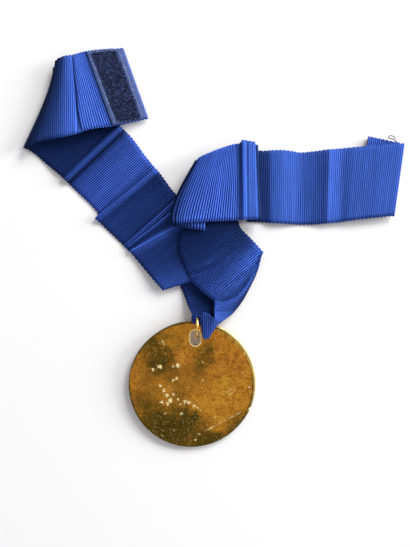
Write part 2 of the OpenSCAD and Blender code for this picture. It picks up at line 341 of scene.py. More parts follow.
# The ribbon is one length of royal-blue corded silk, 38 mm wide, with thick
# ribs across it and small loops along both selvages. It is folded at the left,
# drops to the ring, is bunched up through it and comes back up in folds.
# Light and shade are painted on its colour: lighter on facets that face the lamps, darker on those that face
# away or lie in another layer's shadow, and darker in the grooves between the cords.
RIBBON_WIDTH = 38.0
CLOTH = 0.5
BUNCHED_CLOTH = 0.23
RIB_PITCH = 0.97
ROWS_PER_RIB = 3
RIB_RELIEF = np.array((-0.12, 0.06, 0.06))
PICOT = 0.4
PLAIN_PARTS = 20
BUNCHED_FINER = 3
FOLD_ROWS = 15
ROW_STEP = 0.35
LEAST_STEP = 0.02
SHIFT = np.array((-0.26, 0.72, 0.0))
BUNCHED_ROWS = (-6, 10.5)
RULING = "ruling"
SQUARE = "square"

# A row crosses the ribbon from selvage A to selvage B, in mm. bow bends it
# sideways, lift raises its middle, rib is the plan angle of the cords there
# (RULING where they follow the row, SQUARE where they lie square to the
# ribbon), and a row with rises is a fold, with the cords at the angle past
# beyond it where cloth is gathered in it. The two shading fields after the
# rises are light and shade painted on the silk there, at A and at B where that
# differs: above 1 painted light on a facet that faces the lamps, below 1
# painted shade on one that faces away or lies in another layer's shadow. The
# field after them sets how high the cords stand and how dark the shade painted
# into their grooves is.
Row = namedtuple("Row", "ax ay az bx by bz bow lift rib rise_a rise_b tone tone_b crisp past",
                 defaults=(0, 0, RULING, None, None, 1.0, None, 1.0, None))
BOW, LIFT, NUMBER, PAINTED_SHADING_A, PAINTED_SHADING_B, RELIEF_AND_GROOVE_SHADE = range(6, 12)

LEFT_END = [
    Row(-32.8, 63.6, 1.6, -45.2, 98.5, 0.8, rib=109.6, tone=1.2),
    Row(-51, 59.3, 4.3, -63.5, 96.3, 3.2, rib=109.6, tone=1.28),
    Row(-60, 58, 5.1, -67.5, 95, 4.1, rib=104, tone=1.28, crisp=0.8),
    Row(-65.6, 56.3, 5.6, -69.6, 94.2, 4.8, rib=100, tone=1.1, crisp=0.8),
    Row(-66.6, 55.8, 4.2, -70.1, 94, 3.9, rib=94, tone=0.5, crisp=0.6),
    Row(-68.2, 55.3, 5.7, -70.8, 93.9, 5, rib=91, tone=1.2, crisp=0.6),
    Row(-74, 53.9, 6.1, -73.3, 93.6, 5.1, rib=90, tone=0.85, crisp=0.6, tone_b=0.75),
    Row(-80.5, 52.7, 5.9, -75.5, 93, 4.9, bow=-0.4, rib=90, tone=0.38, tone_b=0.2, crisp=0.5),
    Row(-87, 51.2, 5.6, -78.5, 91.1, 4.6, bow=-1, rib=90, tone=0.24, tone_b=0.05, crisp=0.5),
    Row(-94.6, 49, 4.8, -79.9, 88.2, 3.8, bow=-1.7, rib=90, rise_a=-4.5, rise_b=-1.8,
        tone=0.1, tone_b=0.05, crisp=0.5),
]
LEFT_BAND = [
    Row(-89.5, 46.3, 0.3, -72, 82.5, 0.3, rib=SQUARE, tone=0.4, tone_b=0.2),
    Row(-84, 41.5, 0.5, -61, 72.3, 0.5, rib=SQUARE, tone=0.35, tone_b=0.1),
    Row(-77.6, 36.2, 1.2, -50.3, 62.6, 1.1, rib=44, tone=0.4, tone_b=0.12),
    Row(-75.9, 34.7, 1, -48.4, 60.9, 0.9, rib=43, tone=0.4, tone_b=0.2),
    Row(-74.6, 33.5, 2.5, -47, 59.5, 2.2, rib=43, tone=0.6, crisp=0.7),
    Row(-73.9, 32.9, 2.5, -46.4, 58.9, 2.2, rib=43, tone=0.85, crisp=0.7),
    Row(-72.6, 31.6, 0.7, -45, 57.6, 0.7, rib=43, tone=0.15),
    Row(-70.2, 29.2, 0.3, -42.3, 55, 0.3, rib=43, tone=1.1, crisp=2),
    Row(-58.6, 17.5, 0.3, -32.8, 42.6, 0.3, rib=43, tone=1.55, crisp=2.3),
    Row(-57.7, 16.2, 0.4, -31.6, 41.2, 0.4, tone=1.25, crisp=1.8),
    Row(-58.2, 14.7, 0.9, -29.9, 38.9, 1.4, tone=0.9, crisp=0.9),
    Row(-59, 13.8, 1.8, -29, 38, 2.1, tone=1.2, crisp=0.8),
    Row(-58.2, 13, 1.8, -28.3, 37.3, 2.1, crisp=0.8),
    Row(-56.8, 11.7, 0.7, -27.2, 36, 0.8, tone=0.5, tone_b=0.3, crisp=0.8),
    Row(-54, 9, 0.3, -25.2, 33.4, 0.3, tone=0.65, tone_b=0.4, crisp=1.1),
    Row(-47, 2.3, 0.3, -19.6, 26, 0.4, tone=0.55, tone_b=0.5, crisp=1.2),
    Row(-45.3, 0.6, 0.4, -18.3, 24.9, 0.8, tone=0.35),
    Row(-44.7, 0, 0.6, -17.1, 23.9, 1.7, tone=1.3),
    Row(-44.2, -0.5, 0.5, -15.9, 22.7, 0.7, tone=0.4),
    Row(-43.8, -0.9, 0.7, -14.7, 21.5, 1.6, tone=1.35),
    Row(-43.3, -1.4, 0.5, -13.6, 20.2, 0.7, tone=0.4),
    Row(-42.4, -2.2, 1.6, -10.4, 16.9, 2.4, tone=0.55),
    Row(-41.9, -2.7, 1.9, -9.2, 15.5, 2.7, tone=1.4, crisp=0.6),
]
LOWER_PANEL = [
    Row(-41.2, -3.5, 1, -8.3, 14.2, 1.5, rib=32, crisp=0.8),
    Row(-39, -6, 1.1, -5.8, 11.4, 1.9, rib=34, tone=0.5, tone_b=0.22, crisp=0.8),
    Row(-34, -12, 1.7, -1.5, 4.5, 2.3, rib=38, tone=0.5, tone_b=0.2, crisp=0.8),
    Row(-29.3, -17.6, 2.5, 3.5, -4, 2.8, rib=40, tone=0.75, tone_b=0.3, crisp=0.8),
    Row(-25.5, -22, 3, 8, -11.5, 3, rib=40, rise_a=-1, rise_b=-1,
        tone=0.95, tone_b=0.4, crisp=0.8),
    Row(-23, -8.5, 2, 9, -2.5, 2, rib=-6, rise_a=-1.4, rise_b=-1.4, tone=0.8),
    Row(-16.5, -20.5, 0.5, 13, -7, 0.4, tone=0.5),
]
DOWN_TO_RING = [
    Row(-14.3, -25.5, 1.5, 10, -17, 0.8, tone=0.35, tone_b=0.1, crisp=0.7),
    Row(-12.8, -29.5, 3, 5, -25, 2.6, tone=0.35, tone_b=0.1, crisp=0.7),
    Row(-11.4, -32.6, 4.2, 1.4, -32.4, 4.6, tone=0.35, tone_b=0.1, crisp=0.7),
    Row(-10.6, -34.3, 4.9, -0.6, -38.4, 6, tone=0.4, tone_b=0.25, crisp=0.7),
    Row(-10.3, -34.9, 5.1, -4.6, -36.8, 8.2, tone=0.5, tone_b=0.9, crisp=0.7),
    Row(-10.1, -35.5, 5.3, -10.1, -34.1, 9.4, tone=0.5, crisp=0.7),
    Row(-10.05, -36.9, 5.4, -10.05, -35.5, 9.4, tone=0.6, crisp=0.7),
    Row(-8.4, -38.4, 5.4, -8.4, -37.2, 8.8, tone=0.7, crisp=0.7),
]
UP_FROM_RING = [
    Row(-6.3, -41, 5.9, -6.5, -34.4, 9.2, tone=0.6, crisp=0.7),
    Row(-5.2, -45.8, 6.3, -5, -32.9, 9.3, tone=0.8, crisp=0.6),
    Row(-3.2, -45.9, 6.3, -2.8, -33.6, 9.5, tone=0.9, crisp=0.6),
    Row(-1.2, -42.8, 6.2, -1, -35.4, 9.7, tone=0.9, crisp=0.6),
    Row(0.9, -39.5, 5.8, -0.3, -35.6, 9.5, tone=0.9, crisp=0.6),
    Row(4.2, -36.8, 5.1, -0.1, -34.8, 9.3, tone=0.95, crisp=0.6),
    Row(8, -34.4, 4.1, 0, -33.4, 9, tone=0.6, tone_b=0.9, crisp=0.6),
    Row(13, -28.9, 3, 0.1, -31.4, 8.8, bow=1, rib=2, tone=0.2, tone_b=1.05),
    Row(18, -20.4, 2.8, 0.2, -29.6, 8.6, bow=3.2, rib=8, tone=0.18, tone_b=1.1),
    Row(22.2, -10.8, 2.8, 0.3, -28.2, 8.4, bow=5.4, rib=18, tone=0.4, tone_b=1.1, crisp=0.8),
    Row(24, -3, 2.9, 0.3, -27.3, 8.2, bow=6.3, rib=28, rise_a=-0.4, rise_b=-0.9, tone=0.9, tone_b=1.05,
        crisp=0.6, past=40),
]
RIGHT_PANEL = [
    Row(23.9, -2.9, 2.3, -0.1, -27.2, 6.6, bow=5.2, rib=40, tone=0.8, tone_b=0.25),
    Row(23.8, -2.7, 2.3, -0.5, -27, 6.3, bow=3.6, rib=40, tone=1.1, tone_b=0.5),
    Row(23.4, -2.3, 2.4, -1.3, -26.3, 5.9, bow=1.4, rib=41, tone=1.2, tone_b=0.65),
    Row(22, -0.8, 2.8, -2.6, -25.2, 5.5, rib=42, tone_b=0.8, crisp=1.2),
    Row(18, 3.5, 3.6, -6, -22.3, 4.6, lift=0.3, rib=41, tone=0.35, tone_b=0.85, crisp=1.2),
    Row(12.5, 9.5, 3.9, -10.9, -17.6, 3.6, lift=0.8, rib=40, tone=0.13, tone_b=0.75, crisp=1.2),
    Row(11, 15, 3.9, -15.3, -8.2, 3.2, lift=1.1, rib=40, tone=0.1, tone_b=0.45),
    Row(9, 22, 3.9, -17.6, -0.5, 3.2, lift=0.9, rib=40, tone=0.1, tone_b=0.32),
    Row(4, 31, 4, -16.6, 4.8, 3.5, lift=0.5, rib=42, tone=0.15, tone_b=0.25),
    Row(-4, 40, 3.8, -14.6, 8.8, 3.8, rib=48, tone=0.3),
    Row(-8.5, 42.3, 3.6, -20.6, 9.9, 3.9, rib=54, rise_a=1.3, rise_b=1.2, tone=0.4),
]
TUCK = [
    Row(-4.6, 43.6, 5, -4.6, 7.6, 5.1, rib=92, rise_a=0.65, rise_b=0.7, tone=1.1),
    Row(-9.3, 41.8, 5.7, -21.2, 10.8, 5.8, bow=-2.5, rise_a=1.9, rise_b=0.7, tone=0.12),
]
TOP_PANEL = [
    Row(-7.4, 43.2, 7.5, -18.4, 11, 6.7, bow=-1.8, tone=0.7, tone_b=0.5),
    Row(-6, 43.9, 7.5, -17, 11.15, 6.7, bow=-1.5, tone=1.1, tone_b=0.9),
    Row(-4, 44.8, 7.5, -15, 11.3, 6.8, bow=-1.2, tone=1.3, crisp=1.2),
    Row(4, 48, 6.9, -2, 12.1, 6.5, tone=1.5, tone_b=1.65, crisp=1.5),
    Row(10, 49.8, 6.2, 8, 12.5, 6.2, tone=1.1, tone_b=1.3),
    Row(12.4, 50.3, 5.1, 12.6, 12.8, 5.2, tone=0.75, tone_b=1, crisp=0.8),
    Row(13.2, 50.9, 5.3, 13.5, 12.9, 5.3, tone=0.3, tone_b=0.7, crisp=0.3),
    Row(14.2, 51.7, 7.2, 14.5, 13, 6.9, tone=1.3, crisp=0.25),
    Row(15.3, 51.6, 7.3, 15.6, 13, 7, tone=1.3, crisp=0.25),
    Row(16, 51.3, 6.9, 16.3, 13.1, 6.6, tone=0.35, tone_b=1, crisp=0.25),
    Row(16.9, 51.2, 7.2, 17.3, 13.1, 6.9, crisp=0.25),
    Row(20, 50.5, 7.3, 21, 13.2, 7, crisp=0.25),
    Row(21.4, 49.4, 6.6, 23.2, 13.3, 6.4, rise_a=-2.6, rise_b=-2.6, tone=0.2, crisp=0.4),
    Row(16.2, 48.2, 3.5, 16.6, 12.3, 3.4, rise_a=-2.8, rise_b=-2.7, tone=0.25),
]
RIGHT_BAND = [
    Row(22.4, 47.5, 0.5, 23.2, 12.1, 0.5, tone=0.35, crisp=0.6),
    Row(24.6, 47.2, 0.9, 25.4, 11.9, 0.8, rib=91, tone=0.55, crisp=0.6),
    Row(28.5, 47.3, 2.3, 28.8, 11.6, 2.1, rib=91, tone=0.75, crisp=0.5),
    Row(33, 47.4, 2.4, 33, 11.4, 2.1, rib=91, tone=0.8, crisp=0.35),
    Row(38.5, 47, 1.6, 38, 11.2, 1.3, rib=91, tone=0.82, crisp=0.35),
    Row(43, 46.4, 0.6, 43, 10.9, 0.5, rib=91, tone=0.85, crisp=0.5),
    Row(48.5, 46.8, 1, 48, 10.9, 0.7, rib=90, tone=0.85, crisp=0.7),
    Row(54, 47.4, 1.9, 53.4, 11.2, 1.7, rib=90, tone=0.75, crisp=0.7),
    Row(57.2, 47.7, 2.8, 56.2, 11.5, 2.6, tone=0.8, crisp=0.6),
    Row(58.4, 47.8, 2.3, 57.3, 11.6, 2.1, rib=88, tone=1.15, crisp=0.5),
    Row(63, 48.2, 2, 62.4, 12, 1.9, rib=87, crisp=0.55),
    Row(70, 48.8, 2.9, 67, 12.7, 2.9, rib=85, tone=0.9, crisp=0.6),
    Row(80, 49.6, 3.2, 76, 13.8, 3.2, rib=84, tone=0.85, crisp=0.6),
    Row(94.4, 50.5, 3.1, 89.4, 15, 3.1, rib=82, rise_a=-1.2, rise_b=-1.2, tone=0.95, crisp=0.6),
    Row(84, 52.8, 1.9, 79.5, 17.4, 1.9, rib=82),
    Row(75.6, 54.5, 1.9, 70.8, 19.2, 1.9, rib=82),
]


def monotone(at, values, wanted):
    """Smooth curves through values at the places at, without overshoot."""
    step = np.diff(at)
    slope = np.diff(values, axis=0) / step[:, None]
    tangent = np.zeros_like(values)
    tangent[0], tangent[-1] = slope[0], slope[-1]
    w1, w2 = (2 * step[1:] + step[:-1])[:, None], (step[1:] + 2 * step[:-1])[:, None]
    same = slope[:-1] * slope[1:] > 0
    product = np.where(same, slope[:-1] * slope[1:], 1.0)
    weighed = np.where(same, w1 * slope[1:] + w2 * slope[:-1], 1.0)
    tangent[1:-1] = np.where(same, (w1 + w2) * product / weighed, 0.0)
    k = np.clip(np.searchsorted(at, wanted, side="right") - 1, 0, len(step) - 1)
    t = ((wanted - at[k]) / step[k])[:, None]
    h = step[k][:, None]
    return ((2 * t**3 - 3 * t**2 + 1) * values[k] + (t**3 - 2 * t**2 + t) * h * tangent[k]
            + (3 * t**2 - 2 * t**3) * values[k + 1] + (t**3 - t**2) * h * tangent[k + 1])


def cords_across(rib, going, line):
    """The part of a line in a row that lies along the ribbon, with the cords there at the rib angle."""
    if rib == RULING:
        return 0.0
    if rib == SQUARE:
        return float(line @ going)
    angle = math.radians(rib)
    along = np.array((-math.sin(angle), math.cos(angle), 0.0))
    return float(line @ (along if along @ going > 0 else -along))


def unit_rows(rows, least=1e-12):
    return rows / (np.linalg.norm(rows, axis=-1)[..., None] + least)


def sideways(chord):
    return unit_rows(np.stack((-chord[..., 1], chord[..., 0], np.zeros(chord.shape[:-1])), -1), 1e-9)


def bowed(share):
    """How far a bowed row stands off its chord, as a share of its bow."""
    return np.sin(math.pi * np.clip(1 - share, 0, 1) ** 0.65)


def fold_arc(row, earlier, a, b, rest):
    """Rows round a half circle from one layer of a fold to the other."""
    side = -sideways(b - a)
    back = np.array((earlier.ax + earlier.bx - row.ax - row.bx,
                     earlier.ay + earlier.by - row.ay - row.by, 0.0))
    out = side if side @ back < 0 else -side
    arc = []
    for angle in np.linspace(0, math.pi, FOLD_ROWS):
        ends = []
        for end, rise in ((a, row.rise_a), (b, row.rise_b)):
            up = np.array((0, 0, rise * (1 - math.cos(angle)) / 2))
            ends.append(end + out * abs(rise) / 2 * (math.sin(angle) - 1) + up)
        arc.append(np.concatenate((*ends, rest)))
    return arc


class Ribbon:
    """Closely spaced rows along the ribbon, worked out from the tables of rows."""

    def __init__(self, before_ring, after_ring):
        self.knots, self.skew, self.bulge = [], [], []
        self.add_rows(before_ring + after_ring)
        self.knots = np.array(self.knots)
        self.skew, self.bulge = np.array(self.skew), np.array(self.bulge)
        in_fold = np.isnan(self.skew)
        order = np.arange(len(in_fold))
        for values in (self.skew, self.bulge):
            values[in_fold] = np.interp(order[in_fold], order[~in_fold], values[~in_fold])
        middle = (self.knots[:, :3] + self.knots[:, 3:6]) / 2
        lines = self.knots[:, 3:6] - self.knots[:, :3]
        chord = np.linalg.norm(lines, axis=1)
        self.length = self.lengths(middle, lines, chord, in_fold)
        number, ring = self.knots[:, NUMBER], len(before_ring) - 0.5
        bunched = (number > ring + BUNCHED_ROWS[0]) & (number < ring + BUNCHED_ROWS[1])
        self.layers = np.where(bunched, np.maximum(1.0, RIBBON_WIDTH * 0.97 / chord), 1.0)
        self.after = np.clip((number - ring + 1) / 2, 0, 1)
        self.normal = unit_rows(np.cross(np.gradient(middle, axis=0), lines))

    def add_rows(self, rows):
        run = []
        for i, row in enumerate(rows):
            a, b = np.array((row.ax, row.ay, row.az)), np.array((row.bx, row.by, row.bz))
            rest = (row.bow, row.lift, i, row.tone, row.tone if row.tone_b is None else row.tone_b, row.crisp)
            if row.rise_a is None:
                run.append((row, np.concatenate((a, b, rest))))
                continue
            arc = fold_arc(row, rows[i - 1], a, b, rest)
            self.add_run(run + [(row, arc[0])])
            self.knots += arc[1:-1]
            self.skew += [np.nan] * (len(arc) - 2)
            self.bulge += [np.nan] * (len(arc) - 2)
            run = [(row, arc[-1])]
        self.add_run(run)

    def add_run(self, run):
        """Adds rows from one fold to the next."""
        first = run[0][0]
        values = np.array([knot for _, knot in run])
        a, b = values[:, :3], values[:, 3:6]
        ends = (np.linalg.norm(np.diff(a, axis=0), axis=1) + np.linalg.norm(np.diff(b, axis=0), axis=1)) / 2
        at = np.concatenate(([0.0], np.cumsum(np.maximum(ends, LEAST_STEP))))
        wanted = np.unique(np.concatenate((np.linspace(0, at[-1], max(6, int(at[-1] / ROW_STEP))), at)))
        going = unit_rows(np.gradient((a + b) / 2, axis=0), 1e-9)
        ribs = [row.rib for row, _ in run]
        if first.past is not None:
            ribs[0] = first.past
        skews = np.array([cords_across(*row) for row in zip(ribs, going, b - a)])
        bulges = np.array([cords_across(*row) for row in zip(ribs, going, sideways(b - a))]) * values[:, BOW]
        if first.rise_a is not None and first.past is None:
            skews[0], bulges[0] = self.at_fold
        self.at_fold = skews[-1], bulges[-1]
        self.knots += list(monotone(at, values, wanted))
        self.skew += list(np.interp(wanted, at, skews))
        self.bulge += list(np.interp(wanted, at, bulges))

    def lengths(self, middle, lines, chord, in_fold):
        """How much cloth there is up to each row, with enough in each fold for the cords to turn in."""
        slope = np.clip(self.skew / chord, -0.95, 0.95)
        slope = (slope[1:] + slope[:-1]) / 2
        moved = np.diff(middle, axis=0)
        beside = (moved * unit_rows(lines[1:] + lines[:-1])).sum(axis=1)
        square = np.sqrt(np.maximum((moved**2).sum(axis=1) - beside**2, 0))
        steps = np.maximum(square * np.sqrt(1 - slope**2) + beside * slope, LEAST_STEP)
        share = np.linspace(0, 1, 21)
        starts = np.nonzero(in_fold[1:] & ~in_fold[:-1])[0]
        for start, end in zip(starts, np.nonzero(in_fold[:-1] & ~in_fold[1:])[0] + 1):
            change = ((self.skew[end] - self.skew[start]) * (share - 0.5)
                      + (self.bulge[end] - self.bulge[start]) * bowed(share))
            lacking = 0.1 - change.min() - steps[start:end].sum()
            steps[start:end] += max(lacking, 0.0) / (end - start)
        return np.concatenate(([0.0], np.cumsum(steps)))

    def share(self, u, n, after):
        """How far from A towards B a thread at share u of the width lies, where n layers are gathered."""
        soft = np.clip((n - 1.15) / 1.2, 0, 1)
        soft = soft * soft * (3 - 2 * soft)

        def across(part):
            zigzag = 1 - np.abs(np.mod(n * part, 2) - 1)
            return (1 - soft) * zigzag + soft * (0.5 - 0.5 * np.cos(math.pi * n * part))

        return (1 - after) * across(u) + after * (1 - across(1 - u))

    def place(self, v, u):
        """Points at v mm along and share u of the width, with the number of layers there, and the light and
        shade painted there with the cord relief and groove shade.
        """
        order = np.arange(len(self.length))
        spots = np.empty(v.shape)
        for column in range(v.shape[1]):
            share = self.share(u[0, column], self.layers, self.after)
            reach = self.length + self.skew * (share - 0.5) + self.bulge * bowed(share)
            spots[:, column] = np.interp(v[:, column], np.maximum.accumulate(reach + order * 1e-6), order)
        low = np.clip(spots.astype(int), 0, len(self.knots) - 2)
        part = spots - low

        def between(values):
            weight = part[..., None] if values.ndim > 1 else part
            return values[low] * (1 - weight) + values[low + 1] * weight

        knot, normal, n, after = (
            between(values) for values in (self.knots, self.normal, self.layers, self.after))
        share = self.share(u, n, after)
        deep = (1 - after) * u + after * (1 - u)
        stack = np.clip((n - 1.0) / 0.6, 0, 1) * n * BUNCHED_CLOTH * 1.12
        chord = knot[..., 3:6] - knot[..., :3]
        bow = (bowed(share) * knot[..., BOW])[..., None]
        point = knot[..., :3] + chord * share[..., None] + sideways(chord) * bow
        point[..., 2] += 4 * share * (1 - share) * knot[..., LIFT]
        # The light and shade painted on the silk, from its value at A to that at B, beside the cord relief
        # and groove shade.
        tone = knot[..., PAINTED_SHADING_A] * (1 - share) + knot[..., PAINTED_SHADING_B] * share
        painted_shading_and_relief = np.stack((tone, knot[..., RELIEF_AND_GROOVE_SHADE]), -1)
        return point + normal * (stack * (0.5 - deep))[..., None] + SHIFT, n, painted_shading_and_relief


RIBBON = Ribbon(LEFT_END + LEFT_BAND + LOWER_PANEL + DOWN_TO_RING,
                UP_FROM_RING + RIGHT_PANEL + TUCK + TOP_PANEL + RIGHT_BAND)
RIBBON_LENGTH = float(RIBBON.length[-1])

# Each soft crease that crosses the rows: from x, y to x, y, its height and half
# width in mm, and the lowest and highest cloth that it touches.
CREASES = [
    (-44, 2, -37, 14.5, -0.9, 1.3, 0, 3),
    (-13, -15.4, -2.4, -10.6, -0.7, 1.1, 3, 7),
    (-13.4, -13.4, -3, -9.2, 0.5, 1.2, 3, 7),
]


def creased(points):
    out = points.copy()
    for x0, y0, x1, y1, height, width, lowest, highest in CREASES:
        run = np.array((x1 - x0, y1 - y0))
        long = np.linalg.norm(run)
        run = run / long
        from_start = points[..., :2] - (np.array((x0, y0)) + SHIFT[:2])
        along = from_start @ run / long
        across = from_start @ np.array((-run[1], run[0])) / width
        fade = np.clip(along * 5, 0, 1) * np.clip((1.25 - along) * 3, 0, 1)
        inside = (points[..., 2] > lowest) & (points[..., 2] < highest)
        out[..., 2] += np.where(inside, height * np.exp(-across**2) * fade, 0)
    out[..., 2] = np.maximum(out[..., 2], CLOTH / 2)
    return out


def square_to(points):
    return unit_rows(np.cross(np.gradient(points, axis=0), np.gradient(points, axis=1)))


def woven(along, columns, start):
    """Upper and lower points, uv, and painted light and shade with cord relief of a stretch of ribbed cloth,
    from row number start on.
    """
    u, v = np.meshgrid(columns, along)
    points, layers, painted_shading_and_relief = RIBBON.place(v, u)
    points = creased(points)
    upward = square_to(points)
    thick = np.where(layers > 1.3, BUNCHED_CLOTH, CLOTH) / 2
    blur = np.ones(9) / 9
    thick = np.stack([np.convolve(np.pad(column, 4, mode="edge"), blur, "valid") for column in thick.T], 1)
    ribs = RIB_RELIEF[(np.arange(len(along)) + start) % ROWS_PER_RIB][:, None]
    ribs = ribs * np.clip(thick / (CLOTH / 2), 0, 1) * np.clip(painted_shading_and_relief[..., 1], 0.3, 1.15)
    picots = np.abs(np.sin(math.pi * along / (2 * RIB_PITCH)))[:, None] * PICOT
    points[:, 0] += unit_rows(points[:, 0] - points[:, 1]) * picots
    points[:, -1] += unit_rows(points[:, -1] - points[:, -2]) * picots
    half = upward * (thick + ribs)[..., None]
    return points + half, points - half, np.stack((u * RIBBON_WIDTH, v), -1), painted_shading_and_relief


def quads(numbers):
    corners = numbers[:-1, :-1], numbers[1:, :-1], numbers[1:, 1:], numbers[:-1, 1:]
    return np.stack(corners, -1).reshape(-1, 4)


def sheet_faces(grids, under, turn=0):
    """Faces of both sides and the rim, where a lower point has its upper point's number plus under.
    turn is the corner where the faces of both ends start, which sets how they split."""
    faces = []
    for numbers in grids:
        faces += quads(numbers).tolist() + (quads(numbers)[:, (0, 3, 2, 1)] + under).tolist()
    left, right = (np.concatenate([numbers[:, side] for numbers in grids]) for side in (0, -1))
    for line, start in ((left, 0), (grids[-1][-1], turn), (right[::-1], 0), (grids[0][0, ::-1], -turn)):
        rim = [(p, p + under, q + under, q) for p, q in zip(line[:-1].tolist(), line[1:].tolist())]
        faces += [face[start:] + face[:start] for face in rim]
    return faces


def seam_faces(above, below, under):
    """Faces between the last row of one stretch and the first of the next, of unequal columns."""
    faces = []
    for c in range(PLAIN_PARTS):
        here, there = (row[c * step:(c + 1) * step + 1].tolist() for row, step in (
            (row, (len(row) - 1) // PLAIN_PARTS) for row in (above, below)))
        ring = here[:1] + there + here[:0:-1]
        faces += [ring, [number + under for number in ring[::-1]]]
    return faces


def ribbon_mesh():
    """Points, faces, uv, and painted light and shade with cord relief of the ribbon, with closer columns
    where it is bunched.
    """
    step = RIB_PITCH / ROWS_PER_RIB
    rows = 0.02 + np.arange(int(RIBBON_LENGTH / step) - 1) * step
    bunched = np.nonzero(np.interp(rows, RIBBON.length, RIBBON.layers) > 1.05)[0]
    first, last = bunched[0], bunched[-1] + 1
    plain, fine = np.linspace(0, 1, PLAIN_PARTS + 1), np.linspace(0, 1, PLAIN_PARTS * BUNCHED_FINER + 1)
    upper, lower, coords, painted_shading_and_relief = zip(
        woven(rows[:first], plain, 0), woven(rows[first:last], fine, first), woven(rows[last:], plain, last))
    grids, under = [], 0
    for points in upper:
        grids.append(under + np.arange(points[..., 0].size).reshape(points.shape[:2]))
        under += points[..., 0].size
    faces = sheet_faces(grids, under, 1)
    for above, below in zip(grids, grids[1:]):
        faces += seam_faces(above[-1], below[0], under)
    places = np.concatenate([points.reshape(-1, 3) for points in upper + lower])
    coords, painted_shading_and_relief = (np.concatenate([part.reshape(-1, 2) for part in parts * 2]) for parts in (coords, painted_shading_and_relief))
    return places, faces, coords, painted_shading_and_relief


def make_mesh(name, places, faces, coords=None, painted_shading_and_relief=None, edges=()):
    """A piece from points in mm, with uv in mm and, at each point where given, the light and shade painted
    there and how high the cords stand with how dark the shade painted in their grooves is.
    """
    mesh = bpy.data.meshes.new(name)
    mesh.from_pydata((np.asarray(places) * MM).tolist(), edges, faces)
    if coords is not None:
        layer = mesh.uv_layers.new(name="cloth")
        corner = np.empty(len(mesh.loops), np.int32)
        mesh.loops.foreach_get("vertex_index", corner)
        layer.data.foreach_set("uv", np.asarray(coords, np.float32)[corner].ravel())
        # Attributes of painted light and shade, and of cord relief with its painted groove shade.
        for column, label in enumerate(("tone", "crisp")):
            shades = mesh.attributes.new(label, "FLOAT", "POINT")
            values = np.ones(len(places)) if painted_shading_and_relief is None else painted_shading_and_relief[:, column]
            shades.data.foreach_set("value", values.astype(np.float32))
    mesh.polygons.foreach_set("use_smooth", [True] * len(mesh.polygons))
    mesh.update()
    return new_piece(name, mesh)


def corded_group():
    """Corded cloth with a fine weave, from its uv map in mm, with shade painted into the grooves between the
    cords and the painted light and shade of each point multiplied in.
    """
    tree, given, out = new_group("corded cloth", [
        ("Crest", "Color", (0.07, 0.2, 0.72, 1)), ("Groove Shade", "Color", (0.01, 0.03, 0.25, 1)),
        ("Pitch", "Float", RIB_PITCH)], [
        ("Color", "Color"), ("Height", "Float"), ("Roughness", "Float")])
    uv = put(tree, "ShaderNodeUVMap", uv_map="cloth")
    across, along, _ = separated(tree, uv)
    tone, crisp = (
        put(tree, "ShaderNodeAttribute", attribute_name=name).outputs["Fac"] for name in ("tone", "crisp"))
    count = maths(tree, "DIVIDE", along, given["Pitch"])
    wave = maths(tree, "COSINE", times(tree, maths(tree, "SUBTRACT", count, 0.5), 2 * math.pi))
    hollow = times(tree, stretch(tree, wave, -0.75, 0.45, 1.0, 0.0), crisp)
    crest = maths(tree, "SUBTRACT", 1.0, hollow, clamp=True)
    warp = maths(tree, "SINE", times(tree, across, 2 * math.pi / 0.32))
    number = maths(tree, "FLOOR", count)
    cord = put(tree, "ShaderNodeTexWhiteNoise", {"W": number}, noise_dimensions="1D")
    long = combined(tree, times(tree, across, 0.06), times(tree, along, 0.5))
    shade = plus(tree, 0.86, times(tree, cord, 0.12))
    for texture in (noise(tree, long, 1.0, 3), noise(tree, uv, 2.6, 2)):
        shade = times(tree, shade, stretch(tree, texture, 0.3, 0.7, 0.9, 1.1))
    # Multiplied by the light and shade painted on each point.
    shade = times(tree, times(tree, shade, stretch(tree, warp, -1, 1, 0.95, 1.05)), tone)
    # The darker colour of the grooves is painted shade between the cords.
    join(tree, out, {
        "Color": shaded(tree, blended(tree, crest, given["Groove Shade"], given["Crest"]), shade),
        "Height": plus(tree, crest, times(tree, warp, 0.1)),
        "Roughness": stretch(tree, crest, 0, 1, 0.6, 0.38)})
    return tree


CORDED = corded_group()


def corded_material(name, crest, groove_shade, pitch=RIB_PITCH, metal=0.35):
    material, tree, shader = new_material(name)
    values = {"Crest": crest, "Groove Shade": groove_shade, "Pitch": pitch}
    made = put(tree, "ShaderNodeGroup", values, node_tree=CORDED).outputs
    along_cords = put(tree, "ShaderNodeTangent", direction_type="UV_MAP", uv_map="cloth")
    join(tree, shader, {
        "Base Color": made["Color"], "Roughness": made["Roughness"], "Metallic": metal,
        "Specular IOR Level": 0.3, "Specular Tint": (0.12, 0.36, 1.0, 1),
        "Anisotropic": 0.9, "Anisotropic Rotation": 0.25, "Tangent": along_cords})
    dent(tree, shader, 1.0, 0.00022, made["Height"])
    return material


ribbon = make_mesh("corded_ribbon", *ribbon_mesh())
# Its second, darker colour is the shade painted into the grooves between the cords.
ribbon.data.materials.append(corded_material(
    "royal blue corded silk", (0.058, 0.142, 0.6, 1), (0.01, 0.013, 0.13, 1)))
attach(ribbon, "root")
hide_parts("ribbon")

